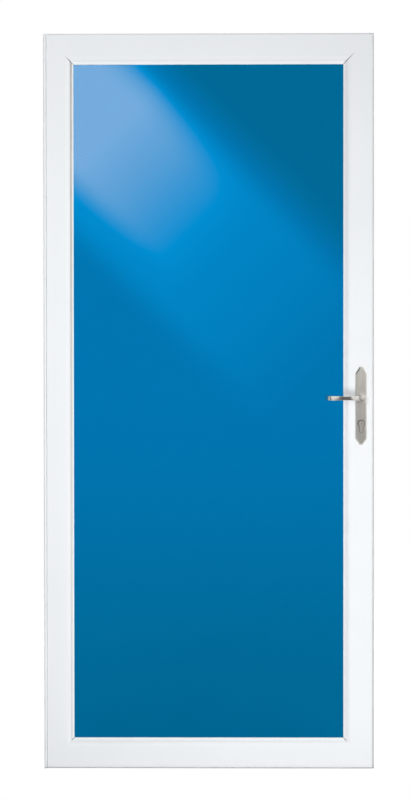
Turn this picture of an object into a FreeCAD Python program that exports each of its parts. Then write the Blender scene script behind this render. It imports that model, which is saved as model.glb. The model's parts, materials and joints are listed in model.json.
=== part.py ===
"""Full-view aluminium storm door: hung leaf, surround rails, continuous hinge and lever lock.

All sizes are in millimetres. X runs from the hinge side to the lock side seen from outside, Y runs into the
house and Z runs up. The origin lies on the wall-side face of the hinge rail, at the middle of the leaf's
thickness and level with the leaf's lower edge.
"""
import FreeCAD
import Part

import math
import os

# Leaf outline and section. Depths into a section are measured from its front face, distances across it
# from the leaf's outline.
leaf_width = 914.4
leaf_height = 2032.0
leaf_thickness = 38.0
face_width = 84.0
section_wall = 1.6
edge_radius = 5.5
hinge_edge_radius = 0.8
lip_depth = 6.0
gasket_show = 7.0
bevel_run = 15.0
bevel_drop = 6.0
glazing_leg_depth = 10.0
leg_tip_width = 3.5
corner_fill = 3.3

# Glazing, from outside to inside.
outer_gasket_depth = 3.0
gasket_recess = 1.3
gasket_crown = 1.2
gasket_lip = 2.0
glass_thickness = 4.0
glass_bite = 18.0
inner_gasket_depth = 2.5
inner_gasket_width = 10.0
bead_cover = 4.0
bead_lip = 3.5
bead_foot = 6.0
bead_wall = 1.4
strip_joint = 0.2

# Surround rails.
rail_wall = 2.0
rail_overhang = 2.0
side_gap = 6.0
lip_gap = 5.0
stop_gap = 7.0
stop_width = 10.0
sill_drop = 3.0
seal_width = 8.0
seal_base = 2.0
seal_gap = 1.0
screw_hole_radius = 2.3
screw_depth = 18.0
screw_row_center = 1015.0
screw_row_halves = (185.0, 555.0, 925.0)
head_screw_spacing = 610.0

# Continuous hinge.
knuckle_radius = 4.2
knuckle_count = 9
knuckle_gap = 0.6
hinge_clearance = 0.4
hinge_pin_radius = 2.0
hinge_pin_clearance = 0.05
hinge_plate = 1.2
hinge_plate_end = 10.0
hinge_axis_depth = 5.0
hinge_notch = 0.6

# Sill channel and sweep under the leaf.
channel_wall = 1.6
channel_rise = 40.0
channel_inset = 12.0
channel_setback = 2.0
sweep_base = 2.0
sweep_fin = 1.6
sweep_fins = 3

# Handle set.
spindle_setback = 36.0
spindle_height = 1025.6
spindle_side = 8.0
spindle_clearance = 1.4
plate_width = 30.5
plate_top = 86.4
plate_bottom = 128.6
plate_tip_width = 8.0
plate_top_slope = 19.0
plate_bottom_slope = 16.0
plate_thickness = 7.0
plate_bevel = 3.0
plate_wall = 2.5
rose_radius = 11.5
rose_height = 4.0
hub_radius = 8.5
hub_length = 41.5
hub_rim = 1.5
hub_clearance = 0.4
socket_depth = 24.0
lever_reach = 92.0
lever_rise = 36.5
lever_depth = 8.4
lever_height = 13.0
lever_edge = 2.4
lever_wave_angle = 7.0
lever_bend_radius = 7.0
lever_tip_rise = 13.0

# Lock.
lock_drop = 70.0
cylinder_radius = 8.5
cylinder_web = 10.0
cylinder_height = 33.0
cylinder_proud = 3.0
cylinder_clearance = 0.4
cutout_clearance = 1.0
rough_clearance = 1.0
plug_radius = 6.5
plug_clearance = 0.3
keyway_width = 1.6
keyway_height = 8.0
keyway_depth = 4.0
turn_radius = 8.5
turn_disc = 4.0
turn_paddle_length = 30.0
turn_paddle_width = 6.0
turn_paddle_out = 14.0
turn_edge = 1.8
case_depth = 38.0
case_width = 18.0
case_top = 44.0
case_bottom = 106.0
bolt_clearance = 0.3
faceplate_width = 22.0
faceplate_margin = 14.0
faceplate_clearance = 0.2
latch_height = 16.0
latch_width = 12.0
latch_length = 19.0
latch_nose = 6.0
deadbolt_height = 26.0
deadbolt_width = 11.0
deadbolt_length = 12.0
strike_thickness = 1.0
strike_width = 24.0
strike_margin = 22.0
strike_window = 3.0

# How far a cutting shape reaches past the face that it cuts.
overcut = 1.0

# Places that follow from the sizes above.
front_y = -leaf_thickness / 2
back_y = leaf_thickness / 2
leaf_left = -rail_overhang
leaf_right = leaf_left + leaf_width
body_edge = rail_overhang + rail_wall + side_gap
rail_front = front_y + lip_depth + lip_gap
stop_front = back_y + stop_gap
stop_back = stop_front + rail_wall
latch_wall_x = leaf_right - rail_overhang
head_wall_z = leaf_height - rail_overhang
flat_end = face_width - gasket_show - bevel_run
leg_end = face_width - gasket_show
glass_front = glazing_leg_depth + outer_gasket_depth
glass_back = glass_front + glass_thickness
bead_front = glass_back + inner_gasket_depth
hinge_x = leaf_left + body_edge - hinge_clearance - knuckle_radius
hinge_y = front_y + hinge_axis_depth
hinge_plate_top = leaf_height - body_edge
spindle_x = leaf_right - spindle_setback
lock_z = spindle_height - lock_drop
lock_edge_x = leaf_right - body_edge
lock_plate_low = spindle_height - case_bottom - faceplate_margin
lock_plate_high = spindle_height + case_top + faceplate_margin
plate_face = leaf_thickness / 2 + plate_thickness
spindle_hole = spindle_side / math.sqrt(2) + spindle_clearance

up = FreeCAD.Vector(0, 0, 1)
across = FreeCAD.Vector(1, 0, 0)
inward = FreeCAD.Vector(0, 1, 0)


def box(x0, x1, y0, y1, z0, z1):
    corner = FreeCAD.Vector(min(x0, x1), min(y0, y1), min(z0, z1))
    return Part.makeBox(abs(x1 - x0), abs(y1 - y0), abs(z1 - z0), corner)


def rod_y(radius, x, z, y0, y1):
    start = FreeCAD.Vector(x, min(y0, y1), z)
    return Part.makeCylinder(radius, abs(y1 - y0), start, inward)


def polygon(points):
    return Part.makePolygon(points + [points[0]])


def one(shape):
    return shape.Solids[0]


def save(name, *solids):
    shape = solids[0] if len(solids) == 1 else Part.makeCompound(list(solids))
    shape.exportStep("parts/" + name + ".step")


def place(side, across_section, depth, along):
    """A point of a frame member: distance from the outline, depth from the front, distance along."""
    y = front_y + depth
    if side == "hinge":
        return FreeCAD.Vector(leaf_left + across_section, y, along)
    if side == "lock":
        return FreeCAD.Vector(leaf_right - across_section, y, along)
    if side == "top":
        return FreeCAD.Vector(leaf_left + along, y, leaf_height - across_section)
    return FreeCAD.Vector(leaf_left + along, y, across_section)


def section_wire(path, put):
    """A closed wire from a path of points; a step of four numbers is an arc through its first pair."""
    first = put(*path[0])
    here = first
    edges = []
    for step in path[1:]:
        end = put(*step[-2:])
        if len(step) == 4:
            edges.append(Part.Arc(here, put(*step[:2]), end).toShape())
        else:
            edges.append(Part.makeLine(here, end))
        here = end
    edges.append(Part.makeLine(here, first))
    return Part.Wire(edges)


def member(side, outer, hollow=None, joint=0.0):
    """A length of section along one side of the leaf, mitred at both ends."""
    upright = side in ("hinge", "lock")
    length = leaf_height if upright else leaf_width
    run = (up if upright else across) * length

    def put(across_section, depth):
        return place(side, across_section, depth, 0.0)

    solid = Part.Face(section_wire(outer, put)).extrude(run)
    if hollow:
        solid = solid.cut(Part.Face(section_wire(hollow, put)).extrude(run))
    far = face_width + bead_cover
    low = [(0.0, joint), (far, far + joint)]
    if not upright:
        low = [(0.0, body_edge), (body_edge, body_edge), (far, far + joint)]
    high = [(far, length - far - joint), (0.0, length - joint)]
    corners = [place(side, n, -overcut, w) for n, w in low + high]
    mitre = Part.Face(polygon(corners)).extrude(inward * (leaf_thickness + 2 * overcut))
    return one(solid.common(mitre))


def arc_middle(run, drop, part):
    """A point on the arc that leaves a face flat and falls by drop over run."""
    radius = (run * run + drop * drop) / (2 * drop)
    return radius - math.sqrt(radius * radius - (run * part) ** 2)


def frame_section(lipped):
    """Outline of the frame extrusion: overlap lip, box, rolled bevel and glazing leg."""
    bevel_mid = (flat_end + bevel_run / 2, arc_middle(bevel_run, bevel_drop, 1 / 2))
    bend = 1 - math.sqrt(1 / 2)
    tip_start = leg_end - leg_tip_width
    skin = arc_middle(bevel_run, bevel_drop, (tip_start - flat_end) / bevel_run) + section_wall
    inner = [
        (flat_end, 0.0),
        bevel_mid + (leg_end, bevel_drop),
        (leg_end, glazing_leg_depth),
        (tip_start, glazing_leg_depth),
        (tip_start, skin),
        (flat_end, section_wall),
        (flat_end, leaf_thickness),
        (body_edge, leaf_thickness),
    ]
    if not lipped:
        radius = hinge_edge_radius
        half_turn = (body_edge + bend * radius, bend * radius)
        return [(body_edge, radius), half_turn + (body_edge + radius, 0.0)] + inner
    turn = section_wall + bend * (edge_radius - section_wall)
    lip = [
        (body_edge, section_wall),
        (edge_radius, section_wall),
        (turn, turn, section_wall, edge_radius),
        (section_wall, lip_depth),
        (0.0, lip_depth),
        (0.0, edge_radius),
        (bend * edge_radius, bend * edge_radius, edge_radius, 0.0),
    ]
    return inner + lip


def frame_hollow():
    low = body_edge + section_wall
    high = flat_end - section_wall
    back = leaf_thickness - section_wall
    front = (low + corner_fill, section_wall)
    return [(low, corner_fill), front, (high, section_wall), (high, back), (low, back)]


def profile_cylinder(clear, y0, y1):
    """Keyhole-shaped lock cylinder body, grown by a clearance."""
    foot_radius = cylinder_web / 2
    foot_z = lock_z + cylinder_radius - cylinder_height + foot_radius
    head = rod_y(cylinder_radius + clear, spindle_x, lock_z, y0, y1)
    foot = rod_y(foot_radius + clear, spindle_x, foot_z, y0, y1)
    half = foot_radius + clear
    web = box(spindle_x - half, spindle_x + half, y0, y1, foot_z, lock_z)
    return one(head.fuse([web, foot]).removeSplitter())


def rough_holes(y0, y1, spindle_radius, clear):
    """Covered openings for the handle set: a round one for the spindle, a square-cut one for the cylinder."""
    half = cylinder_radius + clear
    top = lock_z + half
    slot = box(spindle_x - half, spindle_x + half, y0, y1, top - cylinder_height - 2 * clear, top)
    return [rod_y(spindle_radius, spindle_x, spindle_height, y0, y1), slot]


def bolt_box(bolt_height, bolt_width, center_z, clear, x0, x1):
    half_y = bolt_width / 2 + clear
    half_z = bolt_height / 2 + clear
    return box(x0, x1, -half_y, half_y, center_z - half_z, center_z + half_z)


def build_frame():
    hollow = frame_hollow()
    save("hinge_stile", member("hinge", frame_section(False), hollow))
    save("top_rail", member("top", frame_section(True), hollow))
    save("bottom_rail", member("bottom", frame_section(True), hollow))
    stile = member("lock", frame_section(True), hollow)
    half = faceplate_width / 2
    low = lock_plate_low - faceplate_clearance
    high = lock_plate_high + faceplate_clearance
    slot = box(
        lock_edge_x - section_wall - overcut,
        lock_edge_x + overcut,
        -half - faceplate_clearance,
        half + faceplate_clearance,
        low,
        high,
    )
    holes = rough_holes(front_y - overcut, back_y + overcut, hub_radius, rough_clearance)
    save("lock_stile", one(stile.cut([slot] + holes)))


def build_glazing():
    gasket = [
        (leg_end - leg_tip_width, glazing_leg_depth),
        (leg_end, glazing_leg_depth),
        (leg_end, bevel_drop + gasket_recess),
        (leg_end + gasket_crown, bevel_drop + gasket_recess),
        (face_width, glass_front - gasket_lip),
        (face_width, glass_front),
        (leg_end - leg_tip_width, glass_front),
    ]
    inner_low = face_width - bead_cover - inner_gasket_width
    inner = [
        (inner_low, glass_back),
        (inner_low + inner_gasket_width, glass_back),
        (inner_low + inner_gasket_width, bead_front),
        (inner_low, bead_front),
    ]
    bead_high = face_width - bead_cover
    bead = [
        (flat_end, bead_front),
        (bead_high, bead_front),
        (bead_high, bead_front + bead_lip),
        (flat_end + bead_foot, leaf_thickness),
        (flat_end, leaf_thickness),
    ]
    bead_low = flat_end + bead_wall
    hollow = [
        (bead_low, bead_front + bead_wall),
        (bead_high - bead_wall, bead_front + bead_wall),
        (bead_high - bead_wall, bead_front + bead_lip - bead_wall / 2),
        (flat_end + bead_foot - bead_wall / 2, leaf_thickness - bead_wall),
        (bead_low, leaf_thickness - bead_wall),
    ]
    sides = ("hinge", "lock", "top", "bottom")
    save("outer_gasket", *[member(side, gasket, None, strip_joint) for side in sides])
    save("inner_gasket", *[member(side, inner, None, strip_joint) for side in sides])
    for side in sides:
        save("bead_" + side, member(side, bead, hollow))
    edge = face_width - glass_bite
    low = place("bottom", edge, glass_front, edge)
    high = place("top", edge, glass_back, leaf_width - edge)
    save("glass_pane", box(low.x, high.x, low.y, high.y, low.z, high.z))


def rail_profile(put):
    """Angle-shaped rail section: a web along the opening's side and a stop leg behind the leaf."""
    leg = rail_wall + stop_width
    points = [
        (0.0, rail_front),
        (rail_wall, rail_front),
        (rail_wall, stop_front),
        (leg, stop_front),
        (leg, stop_back),
        (0.0, stop_back),
    ]
    return Part.Face(polygon([put(*point) for point in points]))


def seal_profile(put):
    """Bulb seal on a stop leg, ending just short of the leaf's back."""
    start = rail_wall + (stop_width - seal_width) / 2
    middle = start + seal_width / 2
    shoulder = stop_front - seal_base
    crown = back_y + seal_gap
    path = [
        (start, stop_front),
        (start, shoulder),
        (middle, crown, start + seal_width, shoulder),
        (start + seal_width, stop_front),
    ]
    return Part.Face(section_wire(path, put))


def build_surround():
    height = head_wall_z - rail_wall + sill_drop

    def hinge_put(from_wall, y):
        return FreeCAD.Vector(from_wall, y, -sill_drop)

    def latch_put(from_wall, y):
        return FreeCAD.Vector(latch_wall_x - from_wall, y, -sill_drop)

    def head_put(from_wall, y):
        return FreeCAD.Vector(0.0, y, head_wall_z - from_wall)

    rails = {"hinge": rail_profile(hinge_put).extrude(up * height)}
    rails["latch"] = rail_profile(latch_put).extrude(up * height)
    leg = rail_wall + stop_width
    head = rail_profile(head_put).extrude(across * latch_wall_x)
    leg_low = head_wall_z - leg - overcut
    leg_high = head_wall_z - rail_wall
    leg_back = stop_back + overcut
    corners = [
        box(-overcut, leg, rail_front - overcut, leg_back, leg_low, leg_high),
        box(latch_wall_x - leg, latch_wall_x + overcut, rail_front - overcut, leg_back, leg_low, leg_high),
    ]
    drills = []
    for half in screw_row_halves:
        for z in (screw_row_center - half, screw_row_center + half):
            start = FreeCAD.Vector(-overcut, screw_depth, z)
            drills.append(Part.makeCylinder(screw_hole_radius, latch_wall_x + 2 * overcut, start, across))
    head_drills = []
    for side in (-1, 1):
        x = latch_wall_x / 2 + side * head_screw_spacing / 2
        start = FreeCAD.Vector(x, screw_depth, head_wall_z - rail_wall - overcut)
        head_drills.append(Part.makeCylinder(screw_hole_radius, rail_wall + 2 * overcut, start, up))
    web_x = latch_wall_x - rail_wall
    windows = strike_windows(web_x - overcut, latch_wall_x + overcut)
    save("hinge_rail", one(rails["hinge"].cut(drills)))
    save("latch_rail", one(rails["latch"].cut(drills + windows)))
    save("head_rail", one(head.cut(corners + head_drills)))

    seal_height = height - stop_width
    save("hinge_seal", seal_profile(hinge_put).extrude(up * seal_height))
    save("latch_seal", seal_profile(latch_put).extrude(up * seal_height))
    head_seal = seal_profile(head_put).extrude(across * (latch_wall_x - 2 * leg))
    head_seal.translate(across * leg)
    save("head_seal", head_seal)

    half = strike_width / 2
    low = lock_plate_low + faceplate_margin - strike_margin
    high = lock_plate_high - faceplate_margin + strike_margin
    strike = box(web_x - strike_thickness, web_x, -half, half, low, high)
    strike = strike.cut(strike_windows(web_x - strike_thickness - overcut, web_x + overcut))
    save("strike_plate", one(strike))


def strike_windows(x0, x1):
    latch = bolt_box(latch_height, latch_width, spindle_height, strike_window, x0, x1)
    deadbolt = bolt_box(deadbolt_height, deadbolt_width, lock_z, strike_window, x0, x1)
    return [latch, deadbolt]


def rod_on_hinge(radius, low, high):
    start = FreeCAD.Vector(hinge_x, hinge_y, low)
    return Part.makeCylinder(radius, high - low, start, up)


def hinge_half(plate_x, own):
    """One leaf of the continuous hinge: a plate with a rolled edge, notched for the other leaf's knuckles."""
    pitch = leaf_height / knuckle_count
    notch = hinge_y + knuckle_radius + hinge_notch
    barrel = rod_on_hinge(knuckle_radius, 0.0, leaf_height)
    strap = box(plate_x, plate_x + hinge_plate, hinge_y, notch, 0.0, leaf_height)
    plate = box(plate_x, plate_x + hinge_plate, notch, hinge_plate_end, 0.0, hinge_plate_top)
    reach = knuckle_radius + overcut
    cuts = [rod_on_hinge(hinge_pin_radius + hinge_pin_clearance, -overcut, leaf_height + overcut)]
    for index in range(1 - own, knuckle_count, 2):
        low = index * pitch - knuckle_gap / 2
        high = (index + 1) * pitch + knuckle_gap / 2
        cuts.append(box(hinge_x - reach, hinge_x + reach, hinge_y - reach, notch, low, high))
    return one(barrel.fuse([strap, plate]).removeSplitter().cut(cuts))


def build_hinge():
    save("hinge_frame_leaf", hinge_half(rail_wall, 0))
    save("hinge_door_leaf", hinge_half(leaf_left + body_edge - hinge_plate, 1))
    save("hinge_pin", rod_on_hinge(hinge_pin_radius, 0.0, leaf_height))


def build_sill_channel():
    low_x = leaf_left + body_edge + channel_inset
    high_x = leaf_right - body_edge - channel_inset
    top = body_edge
    floor = top - channel_wall
    front = front_y + lip_depth + channel_setback
    back = back_y + channel_wall
    deck = box(low_x, high_x, front, back, floor, top)
    skirt = box(low_x, high_x, back_y, back, floor, top + channel_rise)
    save("sill_channel", one(deck.fuse(skirt).removeSplitter()))
    pitch = (back - front - sweep_fin) / (sweep_fins - 1)
    base = box(low_x, high_x, front, back, floor - sweep_base, floor)
    fins = []
    for index in range(sweep_fins):
        y = front + index * pitch
        fins.append(box(low_x, high_x, y, y + sweep_fin, -sill_drop, floor - sweep_base))
    save("sill_sweep", one(base.fuse(fins).removeSplitter()))


def handle_plate(sign):
    """Long plate with pointed ends and a bevelled front, hollow behind. Sign -1 is outside."""
    half = plate_width / 2
    tip = plate_tip_width / 2
    top = spindle_height + plate_top
    bottom = spindle_height - plate_bottom
    seat = sign * leaf_thickness / 2
    face = sign * plate_face
    outline = [
        (-half, bottom + plate_bottom_slope),
        (-tip, bottom),
        (tip, bottom),
        (half, bottom + plate_bottom_slope),
        (half, top - plate_top_slope),
        (tip, top),
        (-tip, top),
        (-half, top - plate_top_slope),
    ]
    points = [FreeCAD.Vector(spindle_x + dx, seat, z) for dx, z in outline]
    plate = Part.Face(polygon(points)).extrude(inward * (face - seat))
    rim = [edge for edge in plate.Edges if all(abs(v.Point.y - face) < 1e-6 for v in edge.Vertexes)]
    plate = plate.makeChamfer(plate_bevel, rim)
    pocket = box(
        spindle_x - half + plate_wall,
        spindle_x + half - plate_wall,
        seat,
        face - sign * plate_wall,
        bottom + plate_bottom_slope,
        top - plate_top_slope,
    )
    low = seat - sign * overcut
    high = face + sign * overcut
    holes = [rod_y(spindle_hole, spindle_x, spindle_height, low, high)]
    holes.append(profile_cylinder(cutout_clearance, low, high))
    return one(plate.cut([pocket] + holes))


def rose(sign):
    """Raised ring around a lever's neck."""
    face = sign * plate_face
    top = face + sign * rose_height
    ring = rod_y(rose_radius, spindle_x, spindle_height, face, top)
    bore_radius = hub_radius + hub_clearance
    bore = rod_y(bore_radius, spindle_x, spindle_height, face - sign * overcut, top + sign * overcut)
    return one(ring.cut(bore))


def lever_side(offset):
    """One side of a lever's arm in plan: the tangent arcs of its crest, dip and bend, three points each."""
    slope = math.radians(lever_wave_angle)
    rise = math.cos(slope)
    run = math.sin(slope)
    bend = lever_bend_radius
    wave = (lever_reach - lever_depth / 2 - bend * (1 + run)) / (3 * run)
    joint = lever_rise - wave * (1 - rise)
    arcs = [
        (0.0, lever_rise - wave, offset + wave, 0.0, slope),
        (2 * wave * run, joint + wave * rise, offset - wave, slope, -slope),
        ((3 * wave + bend) * run, joint - bend * rise, offset + bend, -slope, math.pi / 2),
    ]
    points = []
    for out, height, radius, first, last in arcs:
        turns = (first, (first + last) / 2, last)
        points.append([(out + radius * math.sin(turn), height + radius * math.cos(turn)) for turn in turns])
    return points


def lever_arm(sign):
    """Waved blade whose end bends round towards the door, with bevelled edges."""
    half = lever_depth / 2
    low = spindle_height - lever_height / 2

    def put(out, rise):
        return FreeCAD.Vector(spindle_x - out, sign * (plate_face + rise), low)

    front = [[put(*point) for point in arc] for arc in lever_side(half)]
    back = [[put(*point) for point in reversed(arc)] for arc in reversed(lever_side(-half))]
    tip_rise = lever_tip_rise + half
    tip_inside = put(lever_reach - lever_depth, tip_rise)
    tip = [put(lever_reach, tip_rise), put(lever_reach - half, lever_tip_rise), tip_inside]
    edges = [Part.Arc(*arc).toShape() for arc in front]
    edges.append(Part.makeLine(front[-1][-1], tip[0]))
    edges.append(Part.Arc(*tip).toShape())
    edges.append(Part.makeLine(tip[-1], back[0][0]))
    edges += [Part.Arc(*arc).toShape() for arc in back]
    edges.append(Part.makeLine(back[-1][-1], front[0][0]))
    arm = Part.Face(Part.Wire(edges)).extrude(up * lever_height)
    rims = [edge for edge in arm.Edges if abs(edge.CenterOfMass.z - spindle_height) > lever_height / 2 - 1e-6]
    return arm.makeChamfer(lever_edge, rims)


def lever(sign):
    """Round neck with the arm across its end and a square socket for the spindle."""
    start = sign * (plate_face + hub_clearance)
    end = sign * (plate_face + hub_length)
    hub = rod_y(hub_radius, spindle_x, spindle_height, start, end)
    rim = [edge for edge in hub.Edges if abs(edge.CenterOfMass.y - end) < 1e-6]
    hub = hub.makeChamfer(hub_rim, rim)
    socket = spindle_bar(start - sign * overcut, start + sign * socket_depth)
    return one(hub.fuse(lever_arm(sign)).cut(socket))


def spindle_bar(y0, y1):
    half = spindle_side / 2
    return box(spindle_x - half, spindle_x + half, y0, y1, spindle_height - half, spindle_height + half)


def build_handles():
    for name, sign in (("outside", -1), ("inside", 1)):
        save(name + "_plate", handle_plate(sign))
        save(name + "_rose", rose(sign))
        save(name + "_lever", lever(sign))
    end = plate_face + hub_clearance + socket_depth
    save("spindle", spindle_bar(-end, end))


def build_lock():
    front_x = lock_edge_x - section_wall
    half = case_width / 2
    low = spindle_height - case_bottom
    case = box(front_x - case_depth, front_x, -half, half, low, spindle_height + case_top)
    case = case.cut(rough_holes(-half - overcut, half + overcut, spindle_hole, cylinder_clearance))
    latch_back = lock_edge_x - latch_length
    dead_back = lock_edge_x - deadbolt_length
    latch = bolt_box(latch_height, latch_width, spindle_height, 0.0, latch_back, lock_edge_x)
    deadbolt = bolt_box(deadbolt_height, deadbolt_width, lock_z, 0.0, dead_back, lock_edge_x)
    clear = bolt_clearance
    bay_end = lock_edge_x + overcut
    latch_bay = bolt_box(latch_height, latch_width, spindle_height, clear, latch_back, bay_end)
    dead_bay = bolt_box(deadbolt_height, deadbolt_width, lock_z, clear, dead_back, bay_end)
    save("lock_case", one(case.cut([latch_bay, dead_bay])))
    half = faceplate_width / 2
    plate = box(front_x, lock_edge_x, -half, half, lock_plate_low, lock_plate_high)
    save("lock_faceplate", one(plate.cut([latch_bay, dead_bay])))
    nose = [edge for edge in latch.Edges if is_nose(edge)]
    save("latch_bolt", one(latch.makeChamfer(latch_nose, nose)))
    save("deadbolt", deadbolt)

    end = plate_face + cylinder_proud
    shell = profile_cylinder(0.0, -end, end)
    bore = rod_y(plug_radius + plug_clearance, spindle_x, lock_z, -end - overcut, end + overcut)
    save("lock_cylinder", one(shell.cut(bore)))
    plug_end = end + plug_clearance
    plug = rod_y(plug_radius, spindle_x, lock_z, -end, plug_end)
    half = keyway_width / 2
    keyway = box(
        spindle_x - half,
        spindle_x + half,
        -end - overcut,
        -end + keyway_depth,
        lock_z - keyway_height / 2,
        lock_z + keyway_height / 2,
    )
    save("key_plug", one(plug.cut(keyway)))
    disc_end = plug_end + turn_disc
    disc = rod_y(turn_radius, spindle_x, lock_z, plug_end, disc_end)
    half = turn_paddle_width / 2
    reach = turn_paddle_length / 2
    paddle_end = disc_end + turn_paddle_out
    paddle = box(
        spindle_x - half, spindle_x + half, disc_end, paddle_end, lock_z - reach, lock_z + reach
    )
    rims = [edge for edge in paddle.Edges if abs(edge.CenterOfMass.y - disc_end) > 1e-6]
    paddle = paddle.makeChamfer(turn_edge, rims)
    save("thumb_turn", one(disc.fuse(paddle).removeSplitter()))


def is_nose(edge):
    """The edge of the latch bolt's end that first meets the strike as the leaf closes."""
    center = edge.CenterOfMass
    return abs(center.x - lock_edge_x) < 1e-6 and center.y > latch_width / 2 - 1e-6


os.makedirs("parts", exist_ok=True)
build_frame()
build_glazing()
build_surround()
build_hinge()
build_sill_channel()
build_handles()
build_lock()
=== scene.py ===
import json
import math

import bmesh
import bpy
import numpy as np
from mathutils import Matrix, Vector


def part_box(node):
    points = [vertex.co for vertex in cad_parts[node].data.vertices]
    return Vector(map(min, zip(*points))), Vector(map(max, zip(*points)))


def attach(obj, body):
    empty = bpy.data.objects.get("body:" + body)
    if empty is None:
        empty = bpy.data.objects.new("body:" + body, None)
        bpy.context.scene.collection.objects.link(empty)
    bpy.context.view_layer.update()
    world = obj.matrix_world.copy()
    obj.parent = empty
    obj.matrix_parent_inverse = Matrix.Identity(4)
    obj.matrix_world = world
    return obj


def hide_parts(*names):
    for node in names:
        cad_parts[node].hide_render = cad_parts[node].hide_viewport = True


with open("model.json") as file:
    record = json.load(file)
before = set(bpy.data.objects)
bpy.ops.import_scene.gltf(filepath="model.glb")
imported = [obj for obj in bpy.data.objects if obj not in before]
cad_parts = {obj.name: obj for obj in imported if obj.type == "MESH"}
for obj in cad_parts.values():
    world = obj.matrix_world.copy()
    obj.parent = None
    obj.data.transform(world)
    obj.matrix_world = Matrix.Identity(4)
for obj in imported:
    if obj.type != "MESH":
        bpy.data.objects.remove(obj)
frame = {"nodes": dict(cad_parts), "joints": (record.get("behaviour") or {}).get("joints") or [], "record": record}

# the start-up cube, lamp and camera leave before the first measure
for startUp in ("Cube", "Light", "Camera"):
    found = bpy.data.objects.get(startUp)
    if found:
        bpy.data.objects.remove(found, do_unlink=True)
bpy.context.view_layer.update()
pivots = {joint["name"]: Vector(joint["pos_m"]) for joint in frame["joints"]}
slotOf = {part["node"]: part["material_slot"] for part in frame["record"]["subparts"]}
mm = 0.001    # pieces' sizes are in mm; those of finishes, camera and stage are in metres
leafWidth = 0.9144
stileLow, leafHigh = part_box("lock_stile")
leafLow = Vector((leafHigh.x - leafWidth, stileLow.y, stileLow.z))
leafEdges = {"Hinge Edge": leafLow.x, "Lock Edge": leafHigh.x, "Foot": leafLow.z, "Head": leafHigh.z}
print("frame loaded:", len(frame["nodes"]), "nodes")


# Shader wiring

def plug(tree, socket, value):
    if isinstance(value, bpy.types.NodeSocket):
        tree.links.new(value, socket)
    else:
        socket.default_value = value


def addNode(tree, kind, sockets=None, **settings):
    node = tree.nodes.new(kind)
    for field, value in settings.items():
        setattr(node, field, value)
    for label, value in (sockets or {}).items():
        plug(tree, node.inputs[label], value)
    return node


def reckon(tree, operation, first, second=0.0, clamp=False):
    node = addNode(tree, "ShaderNodeMath", operation=operation, use_clamp=clamp)
    plug(tree, node.inputs[0], first)
    plug(tree, node.inputs[1], second)
    return node.outputs[0]


def product(tree, *factors):
    result = factors[0]
    for factor in factors[1:]:
        result = reckon(tree, "MULTIPLY", result, factor)
    return result


def weighted(tree, first, firstShare, second, secondShare):
    return reckon(tree, "ADD", product(tree, first, firstShare), product(tree, second, secondShare))


def fade(tree, value, low, high, start=0.0, end=1.0, kind="SMOOTHSTEP"):
    # start below low, end above high, and between them a smooth step or, as LINEAR, a straight one
    span = {"Value": value, "From Min": low, "From Max": high, "To Min": start, "To Max": end}
    return addNode(tree, "ShaderNodeMapRange", span, interpolation_type=kind).outputs["Result"]


def mixColour(tree, share, first, second):
    node = addNode(tree, "ShaderNodeMix", data_type="RGBA")    # its colours are inputs 6 and 7 and output 2
    for index, value in ((0, share), (6, first), (7, second)):
        plug(tree, node.inputs[index], value)
    return node.outputs[2]


def objectPoint(tree):
    return addNode(tree, "ShaderNodeTexCoord").outputs["Object"]


def placeOf(tree):
    # the point's own X, Y and Z
    return addNode(tree, "ShaderNodeSeparateXYZ", {"Vector": objectPoint(tree)}).outputs


def noiseAt(tree, point, scale, detail=3.0, roughness=0.5):
    sockets = {"Vector": point, "Scale": scale, "Detail": detail, "Roughness": roughness}
    return addNode(tree, "ShaderNodeTexNoise", sockets).outputs["Fac"]


def newGroup(name, inputs, outputs):
    tree = bpy.data.node_groups.new(name, "ShaderNodeTree")
    for label, (kind, value) in inputs.items():
        tree.interface.new_socket(label, in_out="INPUT", socket_type=kind).default_value = value
    for label in outputs:
        tree.interface.new_socket(label, in_out="OUTPUT", socket_type="NodeSocketFloat")
    given = addNode(tree, "NodeGroupInput").outputs
    result = addNode(tree, "NodeGroupOutput").inputs
    return tree, given, result


def useGroup(tree, group, sockets):
    return addNode(tree, "ShaderNodeGroup", sockets, node_tree=group).outputs


def contrasted(tree, value, contrast, gain):
    # pushes a value of 0 to 1 away from its middle
    centred = product(tree, reckon(tree, "SUBTRACT", value, 0.5), contrast, gain)
    return reckon(tree, "ADD", centred, 0.5, clamp=True)


# Effects that several finishes share

brushLook = {"fineShare": 0.6, "broadShare": 0.4, "broadScale": 0.23, "gain": 3.0}


def makeBrushing():
    # noise squeezed across the brushing direction: many fine lines and a few broad ones
    look = brushLook
    inputs = {"Squeeze": ("NodeSocketVector", (2400.0, 2400.0, 45.0)), "Contrast": ("NodeSocketFloat", 0.5)}
    tree, given, result = newGroup("brushing", inputs, ("Lines",))
    squeezed = addNode(tree, "ShaderNodeVectorMath", operation="MULTIPLY")
    plug(tree, squeezed.inputs[0], objectPoint(tree))
    plug(tree, squeezed.inputs[1], given["Squeeze"])
    fine = noiseAt(tree, squeezed.outputs[0], 1.0, detail=2.0)
    broad = noiseAt(tree, squeezed.outputs[0], look["broadScale"], detail=1.0)
    both = weighted(tree, fine, look["fineShare"], broad, look["broadShare"])
    plug(tree, result["Lines"], contrasted(tree, both, given["Contrast"], look["gain"]))
    return tree


mottleLook = {"gain": 2.0, "speckScale": 60.0}


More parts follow.
